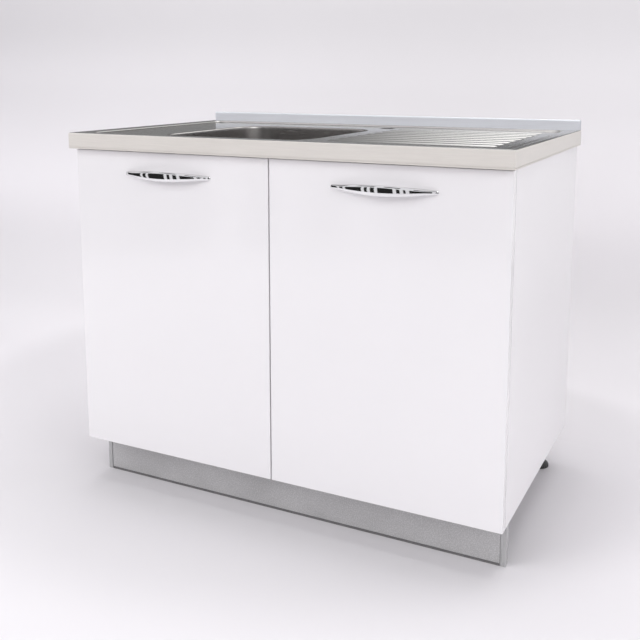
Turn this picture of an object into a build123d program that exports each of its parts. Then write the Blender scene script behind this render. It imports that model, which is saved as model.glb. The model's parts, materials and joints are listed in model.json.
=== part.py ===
from build123d import *
import os
from math import cos, radians, sin, sqrt

# Kitchen sink unit: a two-door base cabinet under a pressed steel sink top.
# Millimetres. X runs right along the front, Y into the depth, Z up from the floor.

# ---- Top ----
top_width = 1000.0
top_depth = 600.0
front_overhang = 19.0        # top beyond the door fronts
side_overhang = 7.0          # top beyond the carcass sides
back_overhang = 6.0          # top behind the carcass
band_height = 34.0
band_thickness = 25.0
band_corner = 2.0            # radius of the band's upright corners
band_arris = 1.0             # radius along its top and bottom edges
band_lip = 3.0               # height below the band's groove
band_groove = 1.2
sheet = 1.0                  # steel sheet
sheet_inset = 1.5            # sheet's edge behind the band's face
sheet_corner = 2.0
rim_front = 34.0             # flat rim round the sunk deck
rim_back = 34.0
rim_left = 32.0
rim_right = 32.0
deck_sink = 4.0              # deck below the rim
deck_slope = 5.0
deck_corner = 28.0
upstand_height = 23.0
upstand_depth = 12.0
upstand_radius = 3.0

# ---- Bowl ----
bowl_width = 350.0
bowl_depth = 150.0
bowl_left = 193.0            # from the left edge of the top
bowl_front = 62.0            # from the front edge of the top
bowl_back = 138.0            # from the back edge of the top
bowl_corner = 75.0
bowl_lip = 6.0
bowl_floor_radius = 30.0

# ---- Drainer and tap hole ----
rib_count = 9
rib_pitch = 48.0
rib_width = 26.0
rib_height = 3.5
rib_run_out = 9.0            # length over which a rib's end slopes down
rib_from_bowl = 42.0         # left ends, from the bowl's right side
drainer_end_margin = 58.0    # right ends, from the right edge of the top
first_rib = 108.0            # from the front edge of the top
tap_hole_diameter = 35.0
tap_from_left = 556.0
tap_from_back = 93.0

# ---- Carcass ----
carcass_height = 680.0
leg_height = 100.0
board = 18.0
front_rail_height = 70.0
rear_rail_height = 100.0
back_thickness = 3.0
back_inset = 12.0            # back panel in from the rear edges
groove_depth = 6.0
service_width = 220.0
service_height = 250.0
service_bottom = 400.0
dowel_diameter = 8.0
dowel_in_side = 12.0
dowel_length = 34.0
dowel_inset = 25.0

# ---- Doors ----
door_top_gap = 3.0           # below the top's edge band
door_thickness = 18.0
door_seam = 3.0
door_to_carcass = 2.0
door_edge_radius = 1.0
bumper_diameter = 8.0
bumper_thickness = 1.7
bumper_inset = 9.0

# ---- Handles ----
handle_length = 219.0
handle_reach = 26.0
handle_strap = 5.5
handle_width = 21.0
handle_tip_width = 7.0
handle_tip_thickness = 1.5
handle_hole_spacing = 192.0
handle_foot = 25.0
handle_below_door_top = 47.0
handle_edge_radius = 1.0
screw_diameter = 4.0
screw_bite = 8.0
screw_head_diameter = 8.5
screw_head_height = 3.0

# ---- Concealed hinges ----
hinge_inset = 100.0          # from the door's top and bottom edges
pivot_inset = 5.0            # swing axis from the door's outer edge and front face
cup_diameter = 35.0
cup_depth = 12.0
cup_edge = 5.0               # cup's rim to the door's outer edge
cup_wall = 1.0
flange_thickness = 1.2
flange_width = 15.0
flange_span = 62.0
cup_screw_spacing = 45.0
cup_screw_diameter = 3.5
cup_screw_length = 12.0
pin_diameter = 3.0
pin_play = 0.05
pin_from_cup_rim = 7.0
pin_below_face = 5.0
link_width = 10.0
link_thickness = 3.0
link_reach = 14.0
link_tail = 50.0
arm_wall = 1.5
arm_play = 0.5
arm_rise = 17.0
arm_length = 62.0
arm_setback = 3.0            # arm's front end behind the carcass edge
plate_thickness = 2.5
plate_length = 50.0
plate_width = 52.0
plate_screw_spacing = 32.0
plate_screw_setback = 37.0
plate_screw_diameter = 5.0
plate_screw_length = 12.0
plate_corner = 6.0

# ---- Legs and plinth ----
leg_from_side = 53.0
front_leg_setback = 110.0    # from the door fronts
rear_leg_from_back = 37.0
socket_plate = 62.0
socket_plate_thickness = 4.0
socket_plate_corner = 8.0
leg_tube_diameter = 36.0
leg_tube_bottom = 38.0
foot_stem_diameter = 22.0
foot_stem_play = 0.05
foot_stem_top = 80.0
foot_diameter = 50.0
foot_disc_height = 8.0
foot_shoulder_height = 20.0
foot_shoulder_diameter = 32.0
plinth_setback = 61.0        # from the door fronts
plinth_thickness = 16.0
plinth_end_inset = 7.0       # from the carcass sides
plinth_top_gap = 2.0
seal_base = 2.0
seal_lip_height = 5.0
seal_lip = 0.8
end_trim_width = 12.0
end_trim_proud = 1.0
end_trim_groove = 2.0
clip_height = 20.0
clip_level = 65.0
clip_wall = 3.0
clip_play = 0.3
clip_neck = 14.0

# ---- Waste and trap ----
waste_hole_diameter = 88.0
waste_flange_diameter = 112.0
waste_flange_thickness = 2.0
waste_well_diameter = 84.0
waste_wall = 3.0
waste_well_depth = 52.0
waste_outlet_length = 26.0
pipe_diameter = 40.0
pipe_wall = 2.0
gasket_thickness = 3.0
waste_nut_height = 12.0
waste_nut_diameter = 108.0
waste_nut_grips = 12
waste_nut_grip_diameter = 7.0
strainer_play = 0.5
strainer_height = 40.0
strainer_wall = 1.0
strainer_holes = 8
strainer_hole_diameter = 6.0
knob_diameter = 18.0
knob_height = 8.0
trap_nut_height = 24.0
trap_nut_wall = 5.0
trap_body_diameter = 60.0
trap_body_height = 70.0
trap_wall = 2.5
trap_cup_height = 60.0
trap_cup_overlap = 14.0
trap_thread_play = 0.3
outlet_drop = 28.0           # outlet axis below the trap body's top
outlet_stub_length = 14.0
outlet_thread_diameter = 44.0
outlet_collar_length = 8.0
outlet_end_gap = 4.0         # pipe end in front of the top's rear edge

# ---- Joining plates under the top ----
strap_width = 60.0
strap_height = 44.0
strap_thickness = 2.0

# ---- Derived places ----
front_reach = max(handle_reach, front_overhang)
overall_depth = front_reach - front_overhang + top_depth
door_front = -overall_depth / 2 + front_reach
top_front = door_front - front_overhang
top_back = top_front + top_depth
top_left = -top_width / 2
carcass_width = top_width - 2 * side_overhang
side_face = carcass_width / 2
carcass_front = door_front + door_thickness + door_to_carcass
carcass_back = top_back - back_overhang
carcass_top = leg_height + carcass_height
floor_top = leg_height + board
band_top = carcass_top + band_height
rim_top = band_top + sheet
deck_top = rim_top - deck_sink
inner_face = side_face - board
back_panel_front = carcass_back - back_inset - back_thickness
door_width = (carcass_width - door_seam) / 2
door_bottom = leg_height
door_top = carcass_top - door_top_gap
door_back = door_front + door_thickness
bowl_length = top_depth - bowl_front - bowl_back
bowl_x = top_left + bowl_left + bowl_width / 2
bowl_y = top_front + bowl_front + bowl_length / 2
bowl_bottom = deck_top - bowl_depth
tap_x = top_left + tap_from_left
tap_y = top_back - tap_from_back


def block(x0, x1, y0, y1, z0, z1):
    """Box between two corners."""
    centre = Pos((x0 + x1) / 2, (y0 + y1) / 2, (z0 + z1) / 2)
    return centre * Box(abs(x1 - x0), abs(y1 - y0), abs(z1 - z0))


def rod(x, y, z, diameter, length):
    """Upright cylinder standing on z."""
    return Pos(x, y, z + length / 2) * Cylinder(diameter / 2, length)


def rod_along_x(x, y, z, diameter, length):
    """Cylinder from x towards +X."""
    return Pos(x + length / 2, y, z) * Rot(0, 90, 0) * Cylinder(diameter / 2, length)


def rod_along_y(x, y, z, diameter, length):
    """Cylinder from y towards +Y."""
    return Pos(x, y + length / 2, z) * Rot(90, 0, 0) * Cylinder(diameter / 2, length)


def tube(x, y, z, outer, inner, length):
    """Upright tube standing on z."""
    return rod(x, y, z, outer, length) - rod(x, y, z, inner, length)


def group(solids):
    """Separate solids in one node."""
    return Compound(children=list(solids))


def mirrored(shape):
    return mirror(shape, about=Plane.YZ)


# ---- Carcass ----

def dowel_rows():
    """Depths and heights of the dowels at each end of the bottom and the rails."""
    bottom = [(y, leg_height + board / 2) for y in (carcass_front + dowel_inset,
                                                    (carcass_front + carcass_back) / 2,
                                                    carcass_back - 2 * dowel_inset)]
    front_y = carcass_front + board / 2
    rear_y = back_panel_front - board / 2
    front = [(front_y, carcass_top - front_rail_height + dowel_inset),
             (front_y, carcass_top - dowel_inset)]
    rear = [(rear_y, carcass_top - rear_rail_height + dowel_inset),
            (rear_y, carcass_top - dowel_inset)]
    return bottom + front + rear


def dowels():
    start = inner_face + dowel_in_side
    right = [rod_along_x(start - dowel_length, y, z, dowel_diameter, dowel_length)
             for y, z in dowel_rows()]
    return right + [mirrored(pin) for pin in right]


def side_panel_right():
    panel = block(inner_face, side_face, carcass_front, carcass_back, leg_height, carcass_top)
    groove = block(inner_face, inner_face + groove_depth, back_panel_front,
                   back_panel_front + back_thickness, floor_top, carcass_top)
    panel -= groove
    for pin in dowels():
        panel -= pin
    for screw in plate_screws_left():
        panel -= mirrored(screw)
    return panel


def bottom_panel():
    panel = block(-inner_face, inner_face, carcass_front, carcass_back, leg_height, floor_top)
    for pin in dowels():
        panel -= pin
    return panel


def front_rail():
    rail = block(-inner_face, inner_face, carcass_front, carcass_front + board,
                 carcass_top - front_rail_height, carcass_top)
    for pin in dowels():
        rail -= pin
    return rail


def rear_rail():
    rail = block(-inner_face, inner_face, back_panel_front - board, back_panel_front,
                 carcass_top - rear_rail_height, carcass_top)
    for pin in dowels():
        rail -= pin
    return rail


def back_panel():
    """Thin back in the side grooves, with an opening for the pipes."""
    half = inner_face + groove_depth
    panel = block(-half, half, back_panel_front, back_panel_front + back_thickness,
                  floor_top, carcass_top)
    cut = block(bowl_x - service_width / 2, bowl_x + service_width / 2,
                back_panel_front - board, carcass_back,
                service_bottom, service_bottom + service_height)
    return panel - cut


# ---- Legs and plinth ----

leg_x = side_face - leg_from_side
front_leg_y = door_front + front_leg_setback
rear_leg_y = carcass_back - rear_leg_from_back
plinth_front = door_front + plinth_setback
plinth_back = plinth_front + plinth_thickness
plinth_half = side_face - plinth_end_inset
plinth_top = leg_height - plinth_top_gap


def leg_socket(x, y):
    """Plate under the bottom panel with the tube that the foot screws into."""
    plate_z = leg_height - socket_plate_thickness / 2
    plate = Pos(x, y, plate_z) * Box(socket_plate, socket_plate, socket_plate_thickness)
    plate = fillet(plate.edges().filter_by(Axis.Z), socket_plate_corner)
    body = rod(x, y, leg_tube_bottom, leg_tube_diameter, leg_height - leg_tube_bottom
               - socket_plate_thickness)
    bore = rod(x, y, leg_tube_bottom, foot_stem_diameter + 2 * foot_stem_play,
               leg_height - leg_tube_bottom)
    return plate + body - bore


def leg_foot(x, y):
    """Foot disc, shoulder and stem, turned about one axis."""
    disc_r = foot_diameter / 2
    shoulder_r = foot_shoulder_diameter / 2
    stem_r = foot_stem_diameter / 2
    outline = Polyline((0, 0), (disc_r, 0), (disc_r, foot_disc_height),
                       (shoulder_r, foot_shoulder_height), (stem_r, foot_shoulder_height),
                       (stem_r, foot_stem_top), (0, foot_stem_top), (0, 0))
    return Pos(x, y, 0) * revolve(Plane.XZ * make_face(outline), Axis.Z)


def plinth_seal():
    """Flexible channel that grips the plinth's lower edge and meets the floor."""
    half = plinth_half - end_trim_width
    outer = block(-half, half, plinth_front - seal_lip, plinth_back + seal_lip, 0, seal_lip_height)
    board_space = block(-half, half, plinth_front, plinth_back, seal_base, seal_lip_height)
    return outer - board_space


def plinth_board():
    half = plinth_half - end_trim_width
    return block(-half, half, plinth_front, plinth_back, seal_base, plinth_top)


def plinth_end_right():
    """Upright end trim with a groove beside the board."""
    start = plinth_half - end_trim_width
    trim = block(start, plinth_half, plinth_front - end_trim_proud, plinth_back, 0, plinth_top)
    groove = block(start, start + end_trim_groove, plinth_front - end_trim_proud,
                   plinth_front + end_trim_proud, 0, plinth_top)
    return trim - groove


def plinth_clip(x):
    """Half ring that hugs a front leg, on a neck from the back of the plinth."""
    inner = leg_tube_diameter + 2 * clip_play
    z0 = clip_level - clip_height / 2
    ring = tube(x, front_leg_y, z0, inner + 2 * clip_wall, inner, clip_height)
    front_half = block(x - inner, x + inner, front_leg_y - inner, front_leg_y, z0, z0 + clip_height)
    neck = block(x - clip_neck / 2, x + clip_neck / 2, plinth_back,
                 front_leg_y - inner / 2 - clip_wall / 2, z0, z0 + clip_height)
    foot = block(x - clip_neck, x + clip_neck, plinth_back, plinth_back + clip_wall,
                 z0, z0 + clip_height)
    return (ring & front_half) + neck + foot


# ---- Doors, handles and hinges; the right ones mirror the left ones ----

door_left_centre = -(door_seam + door_width) / 2
handle_z = door_top - handle_below_door_top
hinge_levels = (door_bottom + hinge_inset, door_top - hinge_inset)
cup_x = -side_face + cup_edge + cup_diameter / 2
pin_x = -side_face + cup_edge + pin_from_cup_rim
pin_y = door_back - pin_below_face
link_x = pin_x + link_reach


def strap_height_at(x):
    """Height of the bow's outer arc over the door at x from the handle's middle."""
    half = handle_length / 2
    rise = handle_reach - handle_tip_thickness
    radius = (half ** 2 + rise ** 2) / (2 * rise)
    return handle_reach - radius + sqrt(radius ** 2 - x ** 2)


screw_bite_in_foot = min(screw_bite, strap_height_at(handle_hole_spacing / 2) - handle_tip_thickness)


def door_left():
    left = door_left_centre - door_width / 2
    door = block(left, left + door_width, door_front, door_back, door_bottom, door_top)
    face = door.faces().sort_by(Axis.Y)[0]
    door = fillet(face.edges(), door_edge_radius)
    for z in hinge_levels:
        door -= rod_along_y(cup_x, door_back - cup_depth, z, cup_diameter, cup_depth)
    for screw in cup_screws() + handle_screws():
        door -= screw
    return door


def door_bumpers():
    """Soft pads at the door's free corners, against the rail and the bottom panel."""
    x = -door_seam / 2 - bumper_inset
    return [rod_along_y(x, door_back, z, bumper_diameter, bumper_thickness)
            for z in (door_bottom + bumper_inset, door_top - bumper_inset)]


def handle_left():
    """Bow strap: wide in the middle, thin at the tips, with a flat foot at each end."""
    half = handle_length / 2
    tip = door_front - handle_tip_thickness
    outer = ThreePointArc((-half, tip), (0, door_front - handle_reach), (half, tip))
    outline = make_face([outer, Polyline((half, tip), (half, door_front), (-half, door_front),
                                         (-half, tip))])
    grip_half = half - handle_foot
    inner = ThreePointArc((-grip_half, door_front),
                          (0, door_front - handle_reach + handle_strap), (grip_half, door_front))
    gap = make_face([inner, Line((grip_half, door_front), (-grip_half, door_front))])
    strap = extrude(outline - gap, handle_width / 2, both=True)

    wide = handle_width / 2
    narrow = handle_tip_width / 2
    upper = ThreePointArc((-half, narrow), (0, wide), (half, narrow))
    lower = ThreePointArc((-half, -narrow), (0, -wide), (half, -narrow))
    leaf = make_face([upper, Line((half, narrow), (half, -narrow)), lower,
                      Line((-half, -narrow), (-half, narrow))])
    leaf_bar = extrude(Plane.XZ * leaf, overall_depth, both=True)
    handle = strap & leaf_bar
    handle = Pos(door_left_centre, 0, handle_z) * handle
    for screw in handle_screws():
        handle -= screw
    return handle


def handle_screws():
    """Screws from inside the door into the handle's feet, heads sunk in the door."""
    screws = []
    for side in (-1, 1):
        x = door_left_centre + side * handle_hole_spacing / 2
        shank = rod_along_y(x, door_front - screw_bite_in_foot, handle_z, screw_diameter,
                            screw_bite_in_foot + door_thickness)
        head = rod_along_y(x, door_back - screw_head_height, handle_z, screw_head_diameter,
                           screw_head_height)
        screws.append(shank + head)
    return screws


def hinge_cup(z):
    """Cup in the door with its flange on the door's inner face."""
    depth = rod_along_y(cup_x, door_back - cup_depth, z, cup_diameter, cup_depth)
    flange = block(cup_x - flange_width / 2, cup_x + flange_width / 2, door_back,
                   door_back + flange_thickness, z - flange_span / 2, z + flange_span / 2)
    rim = rod_along_y(cup_x, door_back, z, cup_diameter, flange_thickness)
    cavity = rod_along_y(cup_x, door_back - cup_depth + cup_wall, z, cup_diameter - 2 * cup_wall,
                         cup_depth + flange_thickness)
    cup = depth + flange + rim - cavity - hinge_pin(z)
    for screw in cup_screws():
        cup -= screw
    return cup


def cup_screws():
    screws = []
    for level in hinge_levels:
        for side in (-1, 1):
            z = level + side * cup_screw_spacing / 2
            screws.append(rod_along_y(cup_x, door_back + flange_thickness - cup_screw_length, z,
                                      cup_screw_diameter, cup_screw_length))
    return screws


def hinge_pin(z):
    """Pin across the cup, its ends in the cup's wall."""
    chord = sqrt((cup_diameter / 2 - cup_wall) ** 2 - (cup_x - pin_x) ** 2)
    return rod(pin_x, pin_y, z - chord, pin_diameter, 2 * chord)


def hinge_link(z):
    """Bent link: a barrel on the pin, a leg along the cup, a tail into the arm."""
    half = link_thickness / 2
    z0 = z - link_width / 2
    z1 = z + link_width / 2
    barrel = rod(pin_x, pin_y, z0, pin_diameter + link_thickness, link_width)
    leg = block(pin_x, link_x + half, pin_y - half, pin_y + half, z0, z1)
    tail = block(link_x - half, link_x + half, pin_y - half, pin_y + link_tail, z0, z1)
    bore = rod(pin_x, pin_y, z0, pin_diameter + 2 * pin_play, link_width)
    return barrel + leg + tail - bore


def hinge_arm(z):
    """Channel over the link's tail, open towards the side panel."""
    base = -inner_face + plate_thickness
    half = link_width / 2 + arm_play
    y0 = carcass_front + arm_setback
    outer = block(base, base + arm_rise, y0, y0 + arm_length, z - half - arm_wall, z + half + arm_wall)
    space = block(base, base + arm_rise - arm_wall, y0, y0 + arm_length, z - half, z + half)
    return outer - space


def hinge_plate(z):
    """Mounting plate on the side panel, with its two screws on the standard setback."""
    y = carcass_front + plate_screw_setback
    plate = block(-inner_face, -inner_face + plate_thickness, y - plate_length / 2,
                  y + plate_length / 2, z - plate_width / 2, z + plate_width / 2)
    plate = fillet(plate.edges().filter_by(Axis.X), plate_corner)
    for screw in plate_screws_left():
        plate -= screw
    return plate


def plate_screws_left():
    y = carcass_front + plate_screw_setback
    screws = []
    for level in hinge_levels:
        for side in (-1, 1):
            z = level + side * plate_screw_spacing / 2
            screws.append(rod_along_x(-inner_face + plate_thickness - plate_screw_length, y, z,
                                      plate_screw_diameter, plate_screw_length))
    return screws


# ---- Top: band, steel deck, bowl and upstand ----

def band_solid(inset, z0, z1):
    """Block over the whole top, its front, back and sides moved in by an inset."""
    return block(top_left + inset, -top_left - inset, top_front + inset, top_back - inset, z0, z1)


def band_ring():
    """Edge band all round, with rounded arrises and a groove above its lower lip."""
    outer = band_solid(0, carcass_top, band_top)
    outer = fillet(outer.edges().filter_by(Axis.Z), band_corner)
    level_edges = outer.faces().sort_by(Axis.Z)[-1].edges() + outer.faces().sort_by(Axis.Z)[0].edges()
    outer = fillet(level_edges, band_arris)
    lip_top = carcass_top + band_lip
    groove = band_solid(0, lip_top, lip_top + band_groove)
    groove -= band_solid(band_groove, lip_top, lip_top + band_groove)
    return outer - band_solid(band_thickness, carcass_top, band_top) - groove


def band_front(ring):
    return ring & block(top_left, -top_left, top_front, top_front + band_thickness,
                        carcass_top, band_top)


def band_rear():
    """Plain rail behind, flat against the wall."""
    return block(top_left, -top_left, top_back - band_thickness, top_back, carcass_top, band_top)


def band_right(ring):
    return ring & block(-top_left - band_thickness, -top_left, top_front + band_thickness,
                        top_back - band_thickness, carcass_top, band_top)


def joining_straps():
    """Flat straps that tie the side bands to the side panels."""
    x = inner_face
    z0 = carcass_top - strap_height / 2
    right = [block(x - strap_thickness, x, y - strap_width / 2, y + strap_width / 2,
                   z0, z0 + strap_height)
             for y in (carcass_front + board + strap_width, back_panel_front - board - strap_width)]
    return right + [mirrored(strap) for strap in right]


def deck_field(grow, z):
    """Outline of the sunk deck, grown by a margin, at a height."""
    x0 = top_left + rim_left - grow
    x1 = -top_left - rim_right + grow
    y0 = top_front + rim_front - grow
    y1 = top_back - rim_back + grow
    outline = RectangleRounded(x1 - x0, y1 - y0, deck_corner + grow)
    return Pos((x0 + x1) / 2, (y0 + y1) / 2, z) * outline


def rib(index, drop):
    """Raised rib with sloping ends; the drop lowers it by the sheet for the underside."""
    y = top_front + first_rib + index * rib_pitch
    x0 = top_left + bowl_left + bowl_width + rib_from_bowl
    x1 = -top_left - drainer_end_margin
    half = rib_width / 2
    section = make_face([ThreePointArc((-half, 0), (0, rib_height), (half, 0)),
                         Line((half, 0), (-half, 0))])
    bar = extrude(Plane(origin=(x0, y, deck_top - drop), x_dir=(0, 1, 0), z_dir=(1, 0, 0)) * section,
                  x1 - x0)
    side = make_face(Polyline((x0, 0), (x1, 0), (x1 - rib_run_out, rib_height),
                              (x0 + rib_run_out, rib_height), (x0, 0)))
    wedge = extrude(Plane(origin=(0, y, deck_top - drop), x_dir=(1, 0, 0), z_dir=(0, -1, 0)) * side,
                    half, both=True)
    return bar & wedge


def sink_deck():
    """Pressed sheet on the band: rim, sunk deck, drainer ribs, bowl and tap openings."""
    low = deck_top - sheet
    left = top_left + sheet_inset
    front = top_front + sheet_inset
    body = block(left, -left, front, top_back, low, rim_top)
    body = fillet(body.edges().filter_by(Axis.Z), sheet_corner)
    pocket = loft([deck_field(0, deck_top), deck_field(deck_slope, rim_top)])
    under = block(left, -left, front, top_back, low, rim_top - sheet)
    plug = loft([deck_field(sheet, low), deck_field(deck_slope + sheet, rim_top - sheet)])
    body = body - pocket - (under - plug)

    for index in range(rib_count):
        body += rib(index, 0)
    for index in range(rib_count):
        body -= rib(index, sheet)

    hole = RectangleRounded(bowl_width + 2 * bowl_lip, bowl_length + 2 * bowl_lip,
                            bowl_corner + bowl_lip)
    body -= extrude(Pos(bowl_x, bowl_y, low) * hole, deck_sink)
    body -= rod(tap_x, tap_y, low - deck_sink, tap_hole_diameter, 2 * deck_sink)
    return body


def sink_bowl():
    """Bowl: rolled lip, straight wall and rounded floor in one section, carried round."""
    low = deck_top - sheet
    section_x = bowl_x + bowl_width / 2
    lip = bowl_lip
    wall_low = bowl_bottom + bowl_floor_radius
    outer_r = bowl_floor_radius + sheet
    outer = [CenterArc((lip, -lip), lip, 90, 90),
             Line((0, -lip), (0, wall_low - deck_top)),
             CenterArc((-bowl_floor_radius, wall_low - deck_top), bowl_floor_radius, 270, 90)]
    floor_z = bowl_bottom - deck_top
    inner = [Line((-bowl_floor_radius, floor_z), (-bowl_floor_radius, floor_z - sheet)),
             CenterArc((-bowl_floor_radius, wall_low - deck_top), outer_r, 270, 90),
             Line((sheet, wall_low - deck_top), (sheet, -lip)),
             CenterArc((lip, -lip), lip - sheet, 90, 90),
             Line((lip, -sheet), (lip, 0))]
    section = make_face(outer + inner)
    frame = Plane(origin=(section_x, bowl_y, deck_top), x_dir=(1, 0, 0), z_dir=(0, -1, 0))
    path = Pos(bowl_x, bowl_y, deck_top) * RectangleRounded(bowl_width, bowl_length, bowl_corner)
    wall = sweep(frame * section, path=path.wire())

    flat_width = bowl_width - 2 * bowl_floor_radius
    flat_length = bowl_length - 2 * bowl_floor_radius
    flat = RectangleRounded(flat_width, flat_length, bowl_corner - bowl_floor_radius)
    floor = extrude(Pos(bowl_x, bowl_y, bowl_bottom - sheet) * flat, sheet)
    waste_hole = rod(bowl_x, bowl_y, bowl_bottom - sheet, waste_hole_diameter, sheet)
    return wall + floor - waste_hole


def upstand():
    """Folded upstand along the rear rim."""
    left = top_left + sheet_inset
    front = top_back - upstand_depth
    outer = block(left, -left, front, top_back, rim_top, rim_top + upstand_height)
    outer = fillet(outer.edges().filter_by(Axis.X).sort_by(Axis.Z)[-2:], upstand_radius)
    inner = block(left, -left, front + sheet, top_back - sheet, rim_top,
                  rim_top + upstand_height - sheet)
    inner = fillet(inner.edges().filter_by(Axis.X).sort_by(Axis.Z)[-2:], upstand_radius - sheet)
    return outer - inner


# ---- Waste and trap ----

well_bottom = bowl_bottom - waste_well_depth
outlet_bottom = well_bottom - waste_outlet_length
well_inner = waste_well_diameter - 2 * waste_wall
trap_top = outlet_bottom - pipe_wall
trap_bottom = trap_top - trap_body_height
outlet_z = trap_top - outlet_drop
stub_end = bowl_y + trap_body_diameter / 2 + outlet_stub_length
pipe_bore = pipe_diameter - 2 * pipe_wall


def waste_body():
    """Flange in the bowl, well below it and the threaded outlet."""
    under = bowl_bottom - sheet
    flange = rod(bowl_x, bowl_y, bowl_bottom, waste_flange_diameter, waste_flange_thickness)
    well = rod(bowl_x, bowl_y, well_bottom, waste_well_diameter, waste_well_depth)
    spout = rod(bowl_x, bowl_y, outlet_bottom, pipe_diameter, waste_outlet_length)
    hollow = rod(bowl_x, bowl_y, well_bottom + waste_wall, well_inner,
                 bowl_bottom - well_bottom)
    drain = rod(bowl_x, bowl_y, outlet_bottom, pipe_bore, waste_well_depth)
    return flange + well + spout - hollow - drain


def waste_gasket():
    z = bowl_bottom - sheet - gasket_thickness
    return tube(bowl_x, bowl_y, z, waste_flange_diameter, waste_well_diameter, gasket_thickness)


def waste_nut():
    """Ribbed ring nut that pulls the waste down on its gasket."""
    z = bowl_bottom - sheet - gasket_thickness - waste_nut_height
    nut = tube(bowl_x, bowl_y, z, waste_nut_diameter, waste_well_diameter, waste_nut_height)
    radius = waste_nut_diameter / 2
    for step in range(waste_nut_grips):
        angle = radians(360 / waste_nut_grips * step)
        nut -= rod(bowl_x + radius * cos(angle), bowl_y + radius * sin(angle), z,
                   waste_nut_grip_diameter, waste_nut_height)
    return nut


def strainer_basket():
    """Lift-out basket with a ring of holes and a knob."""
    z = well_bottom + waste_wall
    outer = well_inner - 2 * strainer_play
    basket = rod(bowl_x, bowl_y, z, outer, strainer_height)
    basket -= rod(bowl_x, bowl_y, z + strainer_wall, outer - 2 * strainer_wall, strainer_height)
    for step in range(strainer_holes):
        angle = radians(360 / strainer_holes * step)
        radius = outer / 3
        basket -= rod(bowl_x + radius * cos(angle), bowl_y + radius * sin(angle), z,
                      strainer_hole_diameter, strainer_wall)
    basket += rod(bowl_x, bowl_y, z, knob_diameter / 2, strainer_height)
    basket += rod(bowl_x, bowl_y, z + strainer_height - knob_height, knob_diameter, knob_height)
    return basket


def trap_nut():
    z = trap_top
    return tube(bowl_x, bowl_y, z, pipe_diameter + 2 * trap_nut_wall, pipe_diameter, trap_nut_height)


def trap_body():
    """Upper half of the bottle trap, with its inlet tube and side outlet."""
    body = rod(bowl_x, bowl_y, trap_bottom, trap_body_diameter, trap_body_height)
    body -= rod(bowl_x, bowl_y, trap_bottom, trap_body_diameter - 2 * trap_wall,
                trap_body_height - trap_wall)
    inlet_outer = pipe_bore
    inlet = tube(bowl_x, bowl_y, trap_bottom - trap_cup_overlap, inlet_outer,
                 inlet_outer - 2 * pipe_wall, trap_body_height + trap_cup_overlap)
    collar = tube(bowl_x, bowl_y, trap_top - trap_wall, pipe_diameter + 2 * trap_nut_wall,
                  inlet_outer, trap_wall)
    stub = rod_along_y(bowl_x, bowl_y, outlet_z, outlet_thread_diameter, stub_end - bowl_y)
    stub_bore = rod_along_y(bowl_x, bowl_y, outlet_z, pipe_bore, stub_end - bowl_y)
    core = rod(bowl_x, bowl_y, trap_bottom, trap_body_diameter - 2 * trap_wall,
               trap_body_height - trap_wall)
    shell = body - rod(bowl_x, bowl_y, trap_top - trap_wall, inlet_outer, trap_wall)
    return (shell - stub_bore) + (stub - stub_bore - core) + inlet + collar


def trap_cup():
    """Cup screwed up over the trap body's lower end."""
    top = trap_bottom + trap_cup_overlap
    inner = trap_body_diameter + 2 * trap_thread_play
    cup = rod(bowl_x, bowl_y, top - trap_cup_height, inner + 2 * trap_wall, trap_cup_height)
    return cup - rod(bowl_x, bowl_y, top - trap_cup_height + trap_wall, inner, trap_cup_height)


def outlet_nut():
    """Ring nut over the trap's outlet stub and the pipe's collar."""
    length = outlet_stub_length - pipe_wall + outlet_collar_length
    y = stub_end + outlet_collar_length - length
    ring = rod_along_y(bowl_x, y, outlet_z, outlet_thread_diameter + 2 * trap_nut_wall, length)
    return ring - rod_along_y(bowl_x, y, outlet_z, outlet_thread_diameter, length)


def outlet_pipe():
    """Waste pipe from its collar at the trap to behind the cabinet."""
    length = top_back - outlet_end_gap - stub_end
    collar = rod_along_y(bowl_x, stub_end, outlet_z, outlet_thread_diameter, outlet_collar_length)
    pipe = rod_along_y(bowl_x, stub_end, outlet_z, pipe_diameter, length)
    return collar + pipe - rod_along_y(bowl_x, stub_end, outlet_z, pipe_bore, length)


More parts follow.
